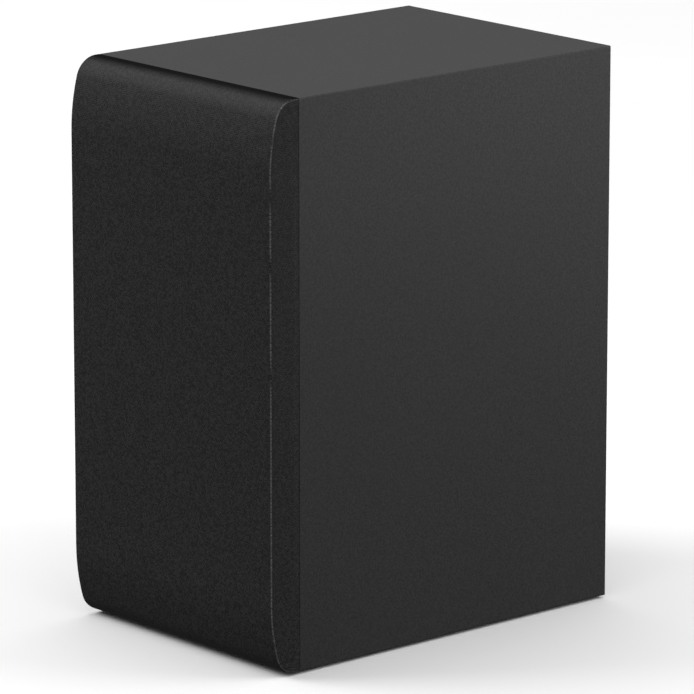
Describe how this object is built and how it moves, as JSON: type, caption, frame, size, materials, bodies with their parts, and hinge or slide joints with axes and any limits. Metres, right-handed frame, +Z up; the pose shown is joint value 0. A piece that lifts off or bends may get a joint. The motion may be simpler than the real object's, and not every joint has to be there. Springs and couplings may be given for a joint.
{
  "type": "wireless subwoofer",
  "caption": "Compact wireless bass speaker of a soundbar set: foil-wrapped box with a rounded pull-off cloth grille, a woofer behind it, and a duct and mains amplifier plate on the back.",
  "frame": {"origin": "on the floor, under the middle of the whole box", "axes": "+Z up, the grille faces -Y, +X is to the right when looking at the back, so to the left of a listener facing the grille is -X"},
  "size_m": [0.17, 0.251, 0.321],
  "materials": {
    "abs": "matte",
    "basket": "satin",
    "black_aluminium": "satin",
    "black_board": "matte",
    "black_screw": "satin",
    "board": "matte",
    "can_sleeve": "gloss",
    "cap": "satin",
    "choke_core": "satin",
    "circuit": "satin",
    "clear": "gloss",
    "clip": "satin",
    "cloth": "matte",
    "coil_wire": "satin",
    "epoxy": "matte",
    "ferrite": "matte",
    "foam": "matte",
    "former": "satin",
    "fuse_glass": "gloss",
    "header": "satin",
    "lead": "satin",
    "led": "gloss",
    "litz": "matte",
    "magnet": "matte",
    "moulded": "satin",
    "paper": "matte",
    "rubber": "matte",
    "sleeve": "satin",
    "spider_cloth": "matte",
    "tag_board": "matte",
    "tape": "satin",
    "tinned": "satin",
    "vinyl": "satin",
    "wadding": "matte",
    "zinc_steel": "satin"
  },
  "bodies": {
    "cabinet": {"top_panel": "board", "bottom_panel": "board", "left_panel": "board", "right_panel": "board", "front_baffle": "black_board", "rear_panel": "black_board", "vinyl_wrap": "vinyl", "rubber_feet": "rubber", "wadding_pads": "wadding", "grille_sockets": "rubber", "woofer_basket": "basket", "woofer_seal": "foam", "woofer_trim_ring": "moulded", "woofer_screws": "black_screw", "woofer_surround": "rubber", "spider": "spider_cloth", "top_plate": "zinc_steel", "ring_magnet": "magnet", "pole_yoke": "zinc_steel", "terminal_strip": "tag_board", "terminal_lugs": "tinned", "tinsel_leads": "litz", "duct_tube": "moulded", "duct_inner_flare": "moulded", "duct_screws": "black_screw", "amp_plate": "moulded", "amp_plate_seal": "foam", "amp_plate_screws": "black_screw", "power_inlet": "abs", "inlet_pins": "tinned", "tact_switch": "epoxy", "light_pipe": "clear", "status_led": "led", "main_board": "circuit", "board_screws": "zinc_steel", "transformer_core": "ferrite", "transformer_winding": "tape", "bulk_capacitors": "can_sleeve", "filter_capacitors": "can_sleeve", "output_inductors": "ferrite", "amplifier_chip": "epoxy", "heat_sink": "black_aluminium", "board_fuse": "fuse_glass", "fuse_clips": "tinned", "emi_choke": "choke_core", "wireless_module": "circuit", "module_header": "header", "speaker_header": "header", "lead_plug": "header", "speaker_lead": "lead", "lead_receptacles": "sleeve", "lead_clips": "clip"},
    "grille": {"grille_frame": "abs", "grille_fabric": "cloth"},
    "cone": {"woofer_cone": "paper", "dust_cap": "cap", "voice_coil_former": "former", "voice_coil_winding": "coil_wire"},
    "button": {"pairing_button": "moulded", "tact_plunger": "epoxy"}
  },
  "joints": [
    {"name": "grille_pull", "type": "slide", "parent": "cabinet", "child": "grille", "axis": [0, -1, 0], "range_m": [0, 0.06]},
    {"name": "cone_stroke", "type": "slide", "parent": "cabinet", "child": "cone", "axis": [0, 1, 0], "range_m": [-0.005, 0.005], "stiffness_N_per_m": 2000, "deforming": ["woofer_surround", "spider", "tinsel_leads"]},
    {"name": "button_press", "type": "slide", "parent": "cabinet", "child": "button", "axis": [0, -1, 0], "range_m": [0, 0.0005], "stiffness_N_per_m": 1000}
  ]
}
